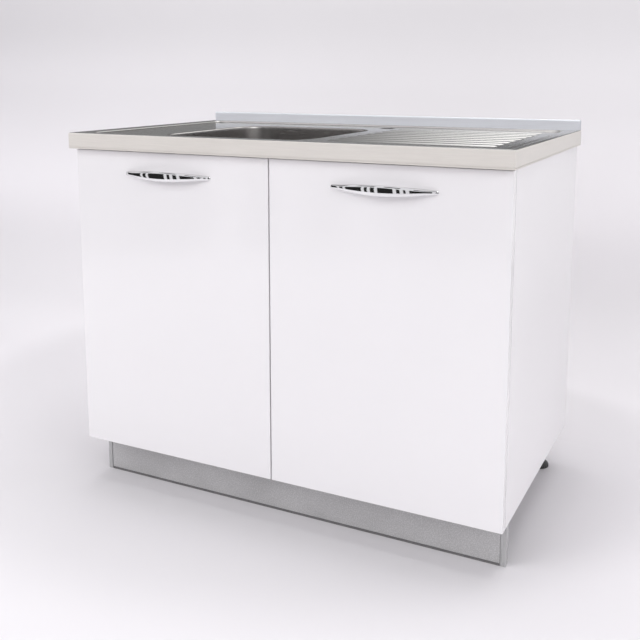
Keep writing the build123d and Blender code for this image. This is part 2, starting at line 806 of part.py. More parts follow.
def build():
    right_panel = side_panel_right()
    ring = band_ring()
    right_band = band_right(ring)
    nodes = {
        "side_panel_left": mirrored(right_panel),
        "side_panel_right": right_panel,
        "bottom_panel": bottom_panel(),
        "front_rail": front_rail(),
        "rear_rail": rear_rail(),
        "back_panel": back_panel(),
        "panel_dowels": group(dowels()),
        "leg_socket_front_left": leg_socket(-leg_x, front_leg_y),
        "leg_socket_front_right": leg_socket(leg_x, front_leg_y),
        "leg_socket_rear_left": leg_socket(-leg_x, rear_leg_y),
        "leg_socket_rear_right": leg_socket(leg_x, rear_leg_y),
        "foot_front_left": leg_foot(-leg_x, front_leg_y),
        "foot_front_right": leg_foot(leg_x, front_leg_y),
        "foot_rear_left": leg_foot(-leg_x, rear_leg_y),
        "foot_rear_right": leg_foot(leg_x, rear_leg_y),
        "plinth_board": plinth_board(),
        "plinth_seal": plinth_seal(),
        "plinth_end_left": mirrored(plinth_end_right()),
        "plinth_end_right": plinth_end_right(),
        "plinth_clips": group([plinth_clip(-leg_x), plinth_clip(leg_x)]),
        "band_front": band_front(ring),
        "band_rear": band_rear(),
        "band_left": mirrored(right_band),
        "band_right": right_band,
        "joining_straps": group(joining_straps()),
        "sink_deck": sink_deck(),
        "sink_bowl": sink_bowl(),
        "upstand": upstand(),
        "waste_body": waste_body(),
        "waste_gasket": waste_gasket(),
        "waste_nut": waste_nut(),
        "strainer_basket": strainer_basket(),
        "trap_nut": trap_nut(),
        "trap_body": trap_body(),
        "trap_cup": trap_cup(),
        "outlet_nut": outlet_nut(),
        "outlet_pipe": outlet_pipe(),
    }
    left = {
        "door": [door_left()],
        "handle": [handle_left()],
        "handle_screws": handle_screws(),
        "door_bumpers": door_bumpers(),
        "hinge_cups": [hinge_cup(z) for z in hinge_levels],
        "hinge_cup_screws": cup_screws(),
        "hinge_pins": [hinge_pin(z) for z in hinge_levels],
        "hinge_links": [hinge_link(z) for z in hinge_levels],
        "hinge_arms": [hinge_arm(z) for z in hinge_levels],
        "hinge_plates": [hinge_plate(z) for z in hinge_levels],
        "hinge_plate_screws": plate_screws_left(),
    }
    for name, solids in left.items():
        if len(solids) == 1:
            nodes[name + "_left"] = solids[0]
            nodes[name + "_right"] = mirrored(solids[0])
        else:
            nodes[name + "_left"] = group(solids)
            nodes[name + "_right"] = group([mirrored(solid) for solid in solids])
    return nodes


os.makedirs("parts", exist_ok=True)
for node, shape in build().items():
    export_step(shape, f"parts/{node}.step")
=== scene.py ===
import json
from math import radians

import bpy
import numpy as np
from mathutils import Matrix, Vector


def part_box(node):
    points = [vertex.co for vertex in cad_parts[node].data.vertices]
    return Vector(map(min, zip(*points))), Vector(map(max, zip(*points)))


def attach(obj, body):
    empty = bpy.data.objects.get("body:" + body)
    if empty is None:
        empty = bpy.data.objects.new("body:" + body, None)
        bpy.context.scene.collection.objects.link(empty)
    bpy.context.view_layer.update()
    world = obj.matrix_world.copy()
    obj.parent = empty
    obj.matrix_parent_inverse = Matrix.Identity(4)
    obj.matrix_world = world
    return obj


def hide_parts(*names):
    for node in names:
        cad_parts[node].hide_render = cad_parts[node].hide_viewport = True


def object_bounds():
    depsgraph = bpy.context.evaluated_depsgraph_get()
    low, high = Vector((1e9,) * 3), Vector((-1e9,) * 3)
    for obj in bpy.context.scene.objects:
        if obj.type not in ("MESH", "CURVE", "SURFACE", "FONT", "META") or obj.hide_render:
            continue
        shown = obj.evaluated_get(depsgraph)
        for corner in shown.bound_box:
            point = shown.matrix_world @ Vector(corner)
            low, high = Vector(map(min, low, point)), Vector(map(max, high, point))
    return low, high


# Kitchen sink unit. The boards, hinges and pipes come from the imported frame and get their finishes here;
# the pressed steel, the bow handles and the turned pieces are worked out below. Lengths in metres.
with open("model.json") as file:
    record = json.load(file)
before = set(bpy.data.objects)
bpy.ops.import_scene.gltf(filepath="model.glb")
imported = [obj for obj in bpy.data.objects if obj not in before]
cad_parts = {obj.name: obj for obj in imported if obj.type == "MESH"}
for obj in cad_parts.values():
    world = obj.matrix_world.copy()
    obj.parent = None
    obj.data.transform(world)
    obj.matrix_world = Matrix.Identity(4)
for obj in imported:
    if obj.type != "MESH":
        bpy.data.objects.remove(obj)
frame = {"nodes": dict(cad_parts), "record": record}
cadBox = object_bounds()
nodes = frame["nodes"]
slotOf = {part["node"]: part["material_slot"] for part in frame["record"]["subparts"]}


# ---- node helpers ----

def join(tree, source, target):
    tree.links.new(source, target)


# a node with its settings; each input gets a plain value or is joined to the socket given for it
def addNode(tree, kind, options=None, inputs=None):
    node = tree.nodes.new(kind)
    for name, value in (options or {}).items():
        setattr(node, name, value)
    for name, value in (inputs or {}).items():
        if isinstance(value, bpy.types.NodeSocket):
            join(tree, value, node.inputs[name])
        else:
            node.inputs[name].default_value = value
    return node


def addGroup(tree, group, inputs):
    return addNode(tree, "ShaderNodeGroup", {"node_tree": group}, inputs).outputs


def objectPlace(tree):
    return addNode(tree, "ShaderNodeTexCoord").outputs["Object"]


def splitPlace(tree, place):
    return addNode(tree, "ShaderNodeSeparateXYZ", None, {0: place}).outputs


# what one math operation makes of numbers
def worked(tree, operation, *values):
    return addNode(tree, "ShaderNodeMath", {"operation": operation}, dict(enumerate(values))).outputs[0]


# what one vector operation makes of vectors or colours
def workedVector(tree, operation, *values):
    return addNode(tree, "ShaderNodeVectorMath", {"operation": operation}, dict(enumerate(values))).outputs[0]


def scaled(tree, vector, factor):
    options = {"operation": "SCALE"}
    return addNode(tree, "ShaderNodeVectorMath", options, {0: vector, "Scale": factor}).outputs[0]


def lengthOf(tree, vector):
    return addNode(tree, "ShaderNodeVectorMath", {"operation": "LENGTH"}, {0: vector}).outputs["Value"]


# a value carried from one (low, high) to another, evenly or with soft ends
def mapped(tree, value, source, target, soft=False):
    options = {"interpolation_type": "SMOOTHSTEP" if soft else "LINEAR"}
    return addNode(tree, "ShaderNodeMapRange", options, dict(enumerate((value, *source, *target)))).outputs[0]


def noiseOn(tree, vector, scale, detail, roughness=.5):
    inputs = {"Vector": vector, "Scale": scale, "Detail": detail, "Roughness": roughness}
    return addNode(tree, "ShaderNodeTexNoise", None, inputs).outputs["Fac"]


def startMaterial(name):
    material = bpy.data.materials.new(name)
    material.use_nodes = True
    return material, material.node_tree, material.node_tree.nodes["Principled BSDF"]


# a shader node group with named sockets; inputs are (name, kind, first value), outputs (name, kind)
def startGroup(name, inputs, outputs):
    tree = bpy.data.node_groups.new(name, "ShaderNodeTree")
    for title, kind, value in inputs:
        socket = tree.interface.new_socket(title, in_out="INPUT", socket_type="NodeSocket" + kind)
        socket.default_value = value
    for title, kind in outputs:
        tree.interface.new_socket(title, in_out="OUTPUT", socket_type="NodeSocket" + kind)
    return tree, tree.nodes.new("NodeGroupInput").outputs


def endGroup(tree, results):
    out = tree.nodes.new("NodeGroupOutput")
    for name, source in results.items():
        join(tree, source, out.inputs[name])
    return tree


# ---- node groups ----

noiseSpan = (.3, .7)    # nearly all of a noise's values lie between these


# a colour that drifts lighter and darker by Spread, over patches of the given Size
def makeDrift():
    tree, given = startGroup("colourDrift",
                             [("Colour", "Color", (.8, .8, .8, 1)), ("Spread", "Float", .02),
                              ("Size", "Float", .2)],
                             [("Colour", "Color"), ("Mask", "Float")])
    noise = noiseOn(tree, objectPlace(tree), worked(tree, "DIVIDE", 1.0, given["Size"]), 3.0, .55)
    swing = mapped(tree, noise, noiseSpan, (-1.0, 1.0))
    amount = worked(tree, "MULTIPLY_ADD", swing, given["Spread"], 1.0)
    return endGroup(tree, {"Colour": scaled(tree, given["Colour"], amount), "Mask": noise})


# streaks drawn out along one direction: noise on coordinates that Stretch squeezes
def makeBrush():
    tree, given = startGroup("brushedStreaks",
                             [("Stretch", "Vector", (1, 60, 60)), ("Fineness", "Float", 12.0)],
                             [("Streak", "Float"), ("Height", "Float")])
    squeezed = workedVector(tree, "MULTIPLY", objectPlace(tree), given["Stretch"])
    noise = noiseOn(tree, squeezed, given["Fineness"], 4.0, .7)
    return endGroup(tree, {"Streak": noise, "Height": noise})


# small even grain, as on faced board, lacquer or moulded plastic, and the spots where it stands highest
def makeGrain():
    tree, given = startGroup("fineGrain", [("Fineness", "Float", 800.0)],
                             [("Height", "Float"), ("Speckle", "Float")])
    noise = noiseOn(tree, objectPlace(tree), given["Fineness"], 2.0, .6)
    return endGroup(tree, {"Height": noise, "Speckle": mapped(tree, noise, (.45, .62), (0.0, 1.0), True)})


# patchy dust that is thickest at the floor and gone at the given Height
def makeFloorDust():
    tree, given = startGroup("floorDust", [("Height", "Float", .08), ("Amount", "Float", .3)],
                             [("Mask", "Float")])
    place = objectPlace(tree)
    fade = mapped(tree, splitPlace(tree, place)["Z"], (0.0, given["Height"]), (1.0, 0.0), True)
    patchy = worked(tree, "MULTIPLY", fade, noiseOn(tree, place, 60.0, 4.0))
    return endGroup(tree, {"Mask": worked(tree, "MULTIPLY", patchy, given["Amount"])})


drift, brush, grain, floorDust = makeDrift(), makeBrush(), makeGrain(), makeFloorDust()
print("node groups ready")


# ---- finishes ----

# colour, spread and size of its drift, roughness and how far it varies, then what the finish adds: grain or
# brush is (fineness, height of the bump), stretch squeezes the brushing across its direction, streak is how
# far the brushing tints, speckle is (fineness, how far it tints), dust is (height, amount)
finishes = {
    "door_gloss": {"colour": (.84, .825, .843), "spread": .008, "size": .5, "rough": .17, "vary": .05,
                   "grain": (260, .00002), "coat": .45, "coatRough": .09},
    "carcass_white": {"colour": (.82, .806, .82), "spread": .012, "size": .3, "rough": .42, "vary": .1,
                      "grain": (900, .00005)},
    "back_white": {"colour": (.76, .745, .73), "spread": .03, "size": .25, "rough": .6, "vary": .1,
                   "grain": (500, .0001)},
    "dowel_wood": {"colour": (.55, .36, .19), "spread": .18, "size": .02, "rough": .7, "vary": .1,
                   "brush": (8, .0002), "stretch": (3, 60, 60)},
    "leg_black": {"colour": (.012, .012, .013), "spread": .2, "size": .03, "rough": .42, "vary": .15,
                  "grain": (700, .00006), "dust": (.05, .04)},
    "plinth_grey": {"colour": (.50, .495, .50), "spread": .07, "size": .12, "rough": .34, "vary": .12,
                    "brush": (14, .00004), "stretch": (2, 40, 40), "streak": .03, "speckle": (420, .12),
                    "metal": .2, "dust": (.03, .08)},
    "seal_grey": {"colour": (.10, .10, .105), "spread": .1, "size": .03, "rough": .5, "vary": .1,
                  "grain": (900, .00004), "dust": (.01, .3)},
    "trim_grey": {"colour": (.45, .45, .455), "spread": .04, "size": .05, "rough": .3, "vary": .1,
                  "brush": (14, .00003), "stretch": (40, 40, 2), "streak": .08, "metal": .2},
    "band_laminate": {"colour": (.665, .635, .60), "spread": .012, "size": .2, "rough": .36, "vary": .1,
                      "brush": (9, .00003), "stretch": (2, 2, 45), "streak": .035},
    "zinc_steel": {"colour": (.60, .60, .58), "spread": .1, "size": .01, "rough": .3, "vary": .15,
                   "grain": (1500, .00002), "metal": 1.0},
    "stainless": {"colour": (.69, .675, .66), "spread": .03, "size": .15, "rough": .14, "vary": .05,
                  "brush": (10, .00001), "stretch": (1.5, 70, 70), "streak": .06, "metal": 1.0,
                  "anisotropic": .35},
    # the upstand's steel: its satin roughness is the finish, but its lighter bluish colour and part-metal mix
    # are painted sheen, standing in for the pale background it mirrors
    "stainless_satin_painted_sheen": {"colour": (.83, .85, .90), "spread": .02, "size": .2, "rough": .42, "vary": .06,
                        "brush": (10, .00001), "stretch": (1.5, 70, 70), "streak": .03, "metal": .55},
    # the bowl's steel: the deck's steel painted darker, a painted shade standing in for the shade and dark
    # reflections inside the bowl
    "stainless_painted_shade": {"colour": (.47, .455, .445), "spread": .03, "size": .1, "rough": .25, "vary": .06,
                       "brush": (10, .00001), "stretch": (1.5, 70, 70), "streak": .05, "metal": 1.0},
    "stainless_cast": {"colour": (.60, .595, .59), "spread": .03, "size": .03, "rough": .24, "vary": .08,
                       "grain": (1200, .00001), "metal": 1.0},
    "gasket_black": {"colour": (.025, .025, .025), "spread": .1, "size": .02, "rough": .6, "vary": .1,
                     "grain": (900, .00005)},
    "trap_white": {"colour": (.78, .78, .76), "spread": .02, "size": .05, "rough": .32, "vary": .08,
                   "grain": (700, .00005)},
    "handle_chrome": {"colour": (.86, .86, .87), "spread": .01, "size": .03, "rough": .045, "vary": .03,
                      "grain": (120, .000004), "metal": 1.0},
    "bumper_clear": {"colour": (.70, .70, .68), "spread": .02, "size": .01, "rough": .35, "vary": .05,
                     "grain": (900, .00003)},
    "hinge_nickel": {"colour": (.62, .61, .58), "spread": .06, "size": .02, "rough": .26, "vary": .12,
                     "grain": (1400, .00002), "metal": 1.0},
}
dustLook = {"colour": (.5, .48, .46), "rough": .85}
plainStreak = .03    # how far a brushing tints where its finish doesn't say


def around(middle, half):
    return middle - half, middle + half


def makeFinish(name, s):
    material, tree, shader = startMaterial(name)
    shader.inputs["Coat Weight"].default_value = s.get("coat", 0.0)
    shader.inputs["Coat Roughness"].default_value = s.get("coatRough", .03)
    shader.inputs["Metallic"].default_value = s.get("metal", 0.0)
    shader.inputs["Anisotropic"].default_value = s.get("anisotropic", 0.0)

    tint = addGroup(tree, drift, {"Colour": (*s["colour"], 1), "Spread": s["spread"], "Size": s["size"]})
    colour, mask = tint["Colour"], tint["Mask"]
    if "brush" in s:
        fineness, lift = s["brush"]
        strokes = addGroup(tree, brush, {"Stretch": s["stretch"], "Fineness": fineness})
        height, mask = strokes["Height"], strokes["Streak"]
        colour = scaled(tree, colour, mapped(tree, mask, noiseSpan, around(1, s.get("streak", plainStreak))))
    else:
        fineness, lift = s["grain"]
        height = addGroup(tree, grain, {"Fineness": fineness})["Height"]
    if "speckle" in s:
        fineness, amount = s["speckle"]
        spots = addGroup(tree, grain, {"Fineness": fineness})["Speckle"]
        colour = scaled(tree, colour, mapped(tree, spots, (0.0, 1.0), around(1, amount)))
    roughness = mapped(tree, mask, noiseSpan, around(s["rough"], s["vary"] / 2))
    if "dust" in s:
        reach, amount = s["dust"]
        dust = addGroup(tree, floorDust, {"Height": reach, "Amount": amount})["Mask"]
        colour = addNode(tree, "ShaderNodeMix", {"data_type": "RGBA"},
                         {0: dust, 6: colour, 7: (*dustLook["colour"], 1)}).outputs[2]
        roughness = addNode(tree, "ShaderNodeMix", {"data_type": "FLOAT"},
                            {0: dust, 2: roughness, 3: dustLook["rough"]}).outputs[0]
    bump = addNode(tree, "ShaderNodeBump", None, {"Strength": 1.0, "Distance": lift, "Height": height})
    join(tree, bump.outputs["Normal"], shader.inputs["Normal"])
    join(tree, colour, shader.inputs["Base Color"])
    join(tree, roughness, shader.inputs["Roughness"])
    return material


materials = {name: makeFinish(name, s) for name, s in finishes.items()}
for name, piece in nodes.items():
    piece.data.materials.clear()
    # the upstand takes the steel with painted sheen; every other node takes its slot's finish
    piece.data.materials.append(materials["stainless_satin_painted_sheen" if name == "upstand" else slotOf[name]])
print("finishes:", len(materials))


# ---- surface helpers ----

# quads of a grid of rows by cols points; a closed way joins its last row or column to its first
def gridQuads(rows, cols, closeRows=False, closeCols=False):
    index = np.arange(rows * cols).reshape(rows, cols)
    if closeRows:
        index = np.vstack([index, index[:1]])
    if closeCols:
        index = np.hstack([index, index[:, :1]])
    return np.stack([index[:-1, :-1], index[1:, :-1], index[1:, 1:], index[:-1, 1:]], -1).reshape(-1, 4)


# six times the volume that quads close round; below zero where they face inwards
def closedVolume(points, quads):
    a, b, c, d = (points[quads[:, k]] for k in range(4))
    return (a * np.cross(b, c)).sum() + (a * np.cross(c, d)).sum()


# a smooth-shaded object from points and quads; a quad with a doubled corner is written as a triangle
def addSurface(name, points, quads, material):
    mesh = bpy.data.meshes.new(name)
    mesh.from_pydata(points.tolist(), [], [list(dict.fromkeys(face)) for face in quads.tolist()])
    mesh.polygons.foreach_set("use_smooth", np.ones(len(mesh.polygons), bool))
    mesh.materials.append(material)
    surface = bpy.data.objects.new(name, mesh)
    bpy.context.scene.collection.objects.link(surface)
    return surface


# one piece of the unit, which stands for the replaced nodes; edges over sharp degrees are drawn hard
def makePiece(name, points, quads, body, slot, replaced, sharp=40, finish=None):
    piece = addSurface(name, points, quads, materials[finish or slot])
    piece.data.set_sharp_from_angle(angle=radians(sharp))
    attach(piece, body)
    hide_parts(*replaced)


# points that fall together become one: the pole of a turned piece, or two surfaces that share a seam
def weld(points, quads, tolerance=1e-6):
    keys = np.round(points / tolerance).astype(np.int64)
    first, inverse = np.unique(keys, axis=0, return_index=True, return_inverse=True)[1:]
    quads = inverse.reshape(-1)[quads]
    same = (quads == np.roll(quads, -1, axis=1)).sum(1)
    return points[first], quads[same < 2]


# average normal at each point of a sheet, from the diagonals of its quads
def sheetNormals(points, quads):
    across = np.cross(points[quads[:, 2]] - points[quads[:, 0]], points[quads[:, 3]] - points[quads[:, 1]])
    normals = np.zeros_like(points)
    for corner in range(4):
        np.add.at(normals, quads[:, corner], across)
    return normals / np.maximum(np.linalg.norm(normals, axis=1, keepdims=True), 1e-12)


# a sheet and its copy moved in by the thickness, with a wall along every free edge
def thicken(points, quads, thickness):
    under = points - sheetNormals(points, quads) * thickness
    count = len(points)
    edges = np.stack([quads, np.roll(quads, -1, axis=1)], -1).reshape(-1, 2)
    keys = np.sort(edges, axis=1)
    inverse, times = np.unique(keys, axis=0, return_inverse=True, return_counts=True)[1:]
    free = edges[times[inverse.reshape(-1)] == 1]
    walls = np.stack([free[:, 1], free[:, 0], free[:, 0] + count, free[:, 1] + count], -1)
    return np.vstack([points, under]), np.vstack([quads, quads[:, ::-1] + count, walls])


def smoothStep(t):
    t = np.clip(t, 0, 1)
    return t * t * (3 - 2 * t)


# signed distance to a rounded rectangle, negative inside, and the direction that it grows in
def rectDistance(x, y, rect):
    cx, cy, halfX, halfY, radius = rect
    qx, qy = np.abs(x - cx) - halfX + radius, np.abs(y - cy) - halfY + radius
    outX, outY = np.maximum(qx, 0), np.maximum(qy, 0)
    reach = np.hypot(outX, outY)
    distance = reach + np.minimum(np.maximum(qx, qy), 0) - radius
    safe = np.maximum(reach, 1e-12)
    gx = np.where(reach > 0, outX / safe, qx >= qy) * np.sign(x - cx)
    gy = np.where(reach > 0, outY / safe, qx < qy) * np.sign(y - cy)
    return distance, gx, gy


# evenly divided runs between stops; each stop is (place, step of the run that follows it)
def gridLine(stops):
    runs = [np.linspace(a, b, max(int(round((b - a) / step)), 1), endpoint=False)
            for (a, step), (b, _) in zip(stops[:-1], stops[1:])]
    return np.concatenate(runs + [np.array([stops[-1][0]])])


# closed loop of a rounded rectangle about the origin, anticlockwise, with its outward directions
def rectLoop(halfX, halfY, radius, arcSteps=12, sideSteps=10):
    points, outward = [], []
    centres = [(1, 1), (-1, 1), (-1, -1), (1, -1)]
    for quarter, (sx, sy) in enumerate(centres):
        angle = (quarter + np.linspace(0, 1, arcSteps + 1)) * np.pi / 2
        facing = np.stack([np.cos(angle), np.sin(angle)], -1)
        arc = np.array([sx * (halfX - radius), sy * (halfY - radius)]) + radius * facing
        nx, ny = centres[(quarter + 1) % 4]
        turn = (quarter + 1) * np.pi / 2
        ahead = np.array([np.cos(turn), np.sin(turn)])
        target = np.array([nx * (halfX - radius), ny * (halfY - radius)]) + radius * ahead
        t = np.linspace(0, 1, sideSteps + 1)[1:-1, None]
        points += [arc, arc[-1] + (target - arc[-1]) * t]
        outward += [facing, np.repeat(ahead[None], len(t), 0)]
    return np.vstack(points), np.vstack(outward)


# loop of (radius, height) corners, each rounded by a curve that leaves and joins its sides tangentially and
# takes at most this share of either side
def roundedOutline(corners, radius, steps=4, most=.45):
    b = np.array(corners, float)
    a, c = np.roll(b, 1, axis=0), np.roll(b, -1, axis=0)
    la = np.linalg.norm(a - b, axis=1, keepdims=True)
    lc = np.linalg.norm(c - b, axis=1, keepdims=True)
    cut = np.minimum(radius, np.minimum(la, lc) * most)
    start, end = b + (a - b) / la * cut, b + (c - b) / lc * cut
    t = np.linspace(0, 1, steps + 1)[None, :, None]
    curve = (1 - t) ** 2 * start[:, None] + 2 * t * (1 - t) * b[:, None] + t ** 2 * end[:, None]
    return curve.reshape(-1, 2)


# an outline of (radius, height) carried round an upright axis. Flutes press grips into its outer part: depth
# times a power of a raised cosine, between two heights of span and fading over a short way at both
def turned(outline, centre, steps=72, flutes=0, depth=0.0, span=(0, 0), sharpness=1.0, fade=.0015, outer=.8):
    angle = np.arange(steps) * 2 * np.pi / steps
    radius, height = outline[:, 0], outline[:, 1]
    inBand = smoothStep((height - span[0]) / fade) * smoothStep((span[1] - height) / fade)
    wave = (.5 - .5 * np.cos(flutes * angle)) ** sharpness if flutes else 0 * angle
    gripped = inBand * (radius > radius.max() * outer)
    r = radius[None] * (1 - depth * wave[:, None] * gripped[None] / radius.max())
    points = np.stack([centre[0] + r * np.cos(angle)[:, None], centre[1] + r * np.sin(angle)[:, None],
                       np.broadcast_to(height[None], r.shape)], -1).reshape(-1, 3)
    quads = gridQuads(steps, len(outline), closeRows=True, closeCols=True)
    points, quads = weld(points, quads)
    return points, quads if closedVolume(points, quads) > 0 else quads[:, ::-1]


# ---- pressed steel top ----

topLow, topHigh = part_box("sink_deck")
bandLow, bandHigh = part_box("band_front")
bowlLow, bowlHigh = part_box("sink_bowl")
sinkTop = {
    "sheet": .0009,
    "cornerRadius": .003,
    "edgeRound": .001, "edgeGap": .0001,    # the outer edge's quarter round, and its gap to the band
    "rim": .034, "rimSide": .032,           # flat rim round the sunk field
    "sunk": .004, "fieldCorner": .028,
    "slope": .005, "slopeInside": .1,       # width of the field's slope, and its share inside the field
    "bead": .0003, "beadWidth": .012,       # raised bead along the outer edge
    "ribCount": 9, "ribPitch": .048, "ribWidth": .027, "ribHeight": .0018,
    "ribLeft": .585, "ribRight": .942, "ribFirst": .108,    # from the left and front edges
    "tapHole": (.556, .507, .0175),         # from the left and front edges, and its radius
    "rounded": .999,                        # share of its half width that a round hole's corners take
    "edgeLines": (0, .3, .6, 1),            # grid lines over the edge's round, as shares of its radius
    "ribLines": 11, "gapLine": .0035,       # lines across a rib, and how far two more lie off a gap's middle
    "snap": .0012,                          # how far past a hole's outline its edge points are drawn in from
}
# the lip runs out under the deck by lipOut (along, down) and turns in by its radius. under is how far the
# floor's edge lies over the bowl's foot, wallGap is left between the wall's rings and the turns at its ends,
# and spacing is the power that draws the floor's rings towards the waste hole
bowlShape = {"sheet": .0009, "lip": .0035, "lipOut": (.0012, .0002), "floorRadius": .030, "corner": .081,
             "wallGap": .004, "wasteHole": .0435, "dish": .0006, "under": .001, "spacing": .9,
             "turnSteps": 8, "wallSteps": 14, "floorSteps": 22}


# the deck's grid lines along X and Y, close together where the sheet bends and far apart where it is flat
def deckLines(s, ribY):
    left, front = bandLow.x + s["rimSide"], bandLow.y + s["rim"]
    right, back = -left, topHigh.y - s["rim"]
    ribStart, ribEnd = bandLow.x + s["ribLeft"], bandLow.x + s["ribRight"]
    edge = s["edgeRound"] * np.array(s["edgeLines"])
    across = np.concatenate([y + np.linspace(-.5, .5, s["ribLines"]) * s["ribWidth"] for y in ribY])
    gaps = (ribY[:-1, None] + s["ribPitch"] / 2 + s["gapLine"] * np.array([-1, 1])).ravel()
    ys = [topLow.y + edge,
          gridLine([(topLow.y + .002, .001), (topLow.y + .012, .0035), (front - .006, .0012),
                    (front + .003, .0022), (front + .03, .004), (across[0] - .003, .004)]),
          across, gaps,
          gridLine([(across[-1] + .004, .0035), (back - .03, .0022), (back - .003, .0012),
                    (back + .006, .004), (topHigh.y, .004)])]
    xs = [topLow.x + edge,
          gridLine([(topLow.x + .002, .001), (topLow.x + .012, .004), (left - .006, .0012),
                    (left + .003, .0022), (left + .03, .007), (bowlLow.x - .005, .0045),
                    (bowlHigh.x + .01, .005), (ribStart - .012, .002), (ribStart + .016, .012),
                    (ribEnd - .018, .0015), (right - .003, .0012), (right + .006, .004),
                    (topHigh.x - .012, .001), (topHigh.x - .002, .001)]),
          topHigh.x - edge]
    return [np.unique(np.round(np.concatenate(lines), 6)) for lines in (xs, ys)]


# the sunk field rises to the rim over the slope, ribs are bars of squared cosine section with rounded ends,
# the bead is one squared sine along the edge, and the edge itself is a quarter round
def deckHeight(s, x, y, ribY, outer):
    left, front, back = bandLow.x, bandLow.y, topHigh.y
    field = (0, (front + back) / 2, -left - s["rimSide"], (back - front) / 2 - s["rim"], s["fieldCorner"])
    rise = smoothStep(rectDistance(x, y, field)[0] / s["slope"] + s["slopeInside"])
    middle = (s["ribLeft"] + s["ribRight"]) / 2 + left
    halfLength = (s["ribRight"] - s["ribLeft"]) / 2 - s["ribWidth"] / 2
    past = np.maximum(np.abs(x - middle) - halfLength, 0)
    nearest = ribY[np.clip(np.round((y - ribY[0]) / s["ribPitch"]), 0, s["ribCount"] - 1).astype(int)]
    ribReach = np.clip(np.hypot(past, y - nearest) / (s["ribWidth"] / 2), 0, 1)
    inset = -rectDistance(x, y, outer)[0]
    beadReach = np.clip((inset - s["edgeRound"]) / s["beadWidth"], 0, 1)
    fall = np.clip(1 - inset / s["edgeRound"], 0, 1)
    return (topHigh.z - s["sunk"] * (1 - rise) + s["ribHeight"] * np.cos(np.pi / 2 * ribReach) ** 2
            + s["bead"] * np.sin(np.pi * beadReach) ** 2
            - (topHigh.z - bandHigh.z - s["edgeGap"]) * (1 - np.sqrt(1 - fall ** 2)))


def makeSinkDeck(s):
    ribY = bandLow.y + s["ribFirst"] + np.arange(s["ribCount"]) * s["ribPitch"]
    x, y = (a.copy() for a in np.meshgrid(*deckLines(s, ribY), indexing="ij"))

    # outer corners pulled in to their radius
    outer = ((topLow.x + topHigh.x) / 2, (topLow.y + topHigh.y) / 2,
             (topHigh.x - topLow.x) / 2, (topHigh.y - topLow.y) / 2, s["cornerRadius"])
    distance, gx, gy = rectDistance(x, y, outer)
    x -= gx * np.maximum(distance, 0)
    y -= gy * np.maximum(distance, 0)

    # holes: where a face straddles an outline, its points inside move onto it; faces wholly inside go.
    # A round hole is a square with its corners rounded away
    quads = gridQuads(*x.shape)
    hole = np.zeros(len(quads), bool)
    bowl = ((bowlLow.x + bowlHigh.x) / 2, (bowlLow.y + bowlHigh.y) / 2,
            (bowlHigh.x - bowlLow.x) / 2, (bowlHigh.y - bowlLow.y) / 2, bowlShape["corner"])
    tapX, tapY, tapR = s["tapHole"]
    for rect in (bowl, (bandLow.x + tapX, bandLow.y + tapY, tapR, tapR, tapR * s["rounded"])):
        distance, gx, gy = (a.ravel() for a in rectDistance(x, y, rect))
        inside = distance < s["snap"]
        straddling = quads[inside[quads].any(1) & ~inside[quads].all(1)]
        move = np.zeros(x.size, bool)
        move[straddling.ravel()] = True
        move &= inside
        hole |= inside[quads].all(1)
        x.ravel()[move] -= (gx * distance)[move]
        y.ravel()[move] -= (gy * distance)[move]

    points = np.stack([x.ravel(), y.ravel(), deckHeight(s, x, y, ribY, outer).ravel()], -1)
    used, quads = np.unique(quads[~hole], return_inverse=True)
    points, quads = thicken(points[used], quads.reshape(-1, 4), s["sheet"])
    makePiece("pressedSteelDeck", points, quads, "cabinet", "stainless", ["sink_deck"])


# the bowl is a section of (inset, depth) carried round the opening's rounded rectangle;
# on the floor it turns from that outline to the round waste hole
def makeSinkBowl(s):
    halfX, halfY = (bowlHigh.x - bowlLow.x) / 2, (bowlHigh.y - bowlLow.y) / 2
    centre = np.array([(bowlLow.x + bowlHigh.x) / 2, (bowlLow.y + bowlHigh.y) / 2])
    depth = bowlHigh.z - bowlLow.z - s["under"]
    a = np.linspace(0, np.pi / 2, s["turnSteps"])
    lip = np.stack([s["lip"] * np.sin(a), -s["lip"] * (1 - np.cos(a))], -1)
    wall = np.linspace(s["lip"] + s["wallGap"], depth - s["floorRadius"] - s["wallGap"], s["wallSteps"])
    wall = np.stack([np.full_like(wall, s["lip"]), -wall], -1)
    turn = np.stack([s["lip"] + s["floorRadius"] * (1 - np.cos(a)),
                     -depth + s["floorRadius"] * (1 - np.sin(a))], -1)
    section = np.vstack([-np.array([s["lipOut"]]), lip, wall, turn])
    loop, outward = rectLoop(halfX, halfY, s["corner"])
    walls = loop[:, None] - outward[:, None] * section[None, :, :1]
    walls = np.concatenate([walls, np.broadcast_to(section[None, :, 1:], (*walls.shape[:2], 1))], -1)

    foot = walls[:, -1, :2]
    angle = np.arctan2(foot[:, 1], foot[:, 0])
    ring = s["wasteHole"] * np.stack([np.cos(angle), np.sin(angle)], -1)
    t = np.linspace(0, 1, s["floorSteps"])[None, 1:, None] ** s["spacing"]
    floor = foot[:, None] * (1 - t) + ring[:, None] * t
    low = np.broadcast_to(-depth - s["dish"] * smoothStep(t), (*floor.shape[:2], 1))
    points = np.concatenate([walls, np.concatenate([floor, low], -1)], 1) + np.array([*centre, bowlHigh.z])
    quads = gridQuads(points.shape[0], points.shape[1], closeRows=True)
    points = points.reshape(-1, 3)
    if sheetNormals(points, quads)[-1, 2] < 0:
        quads = quads[:, ::-1]
    points, quads = thicken(points, quads, s["sheet"])
    # the bowl takes the steel painted darker: painted shade inside it
    makePiece("pressedSteelBowl", points, quads, "cabinet", "stainless", ["sink_bowl"],
              finish="stainless_painted_shade")


makeSinkDeck(sinkTop)
makeSinkBowl(bowlShape)
print("steel top done")


# ---- bow handles ----

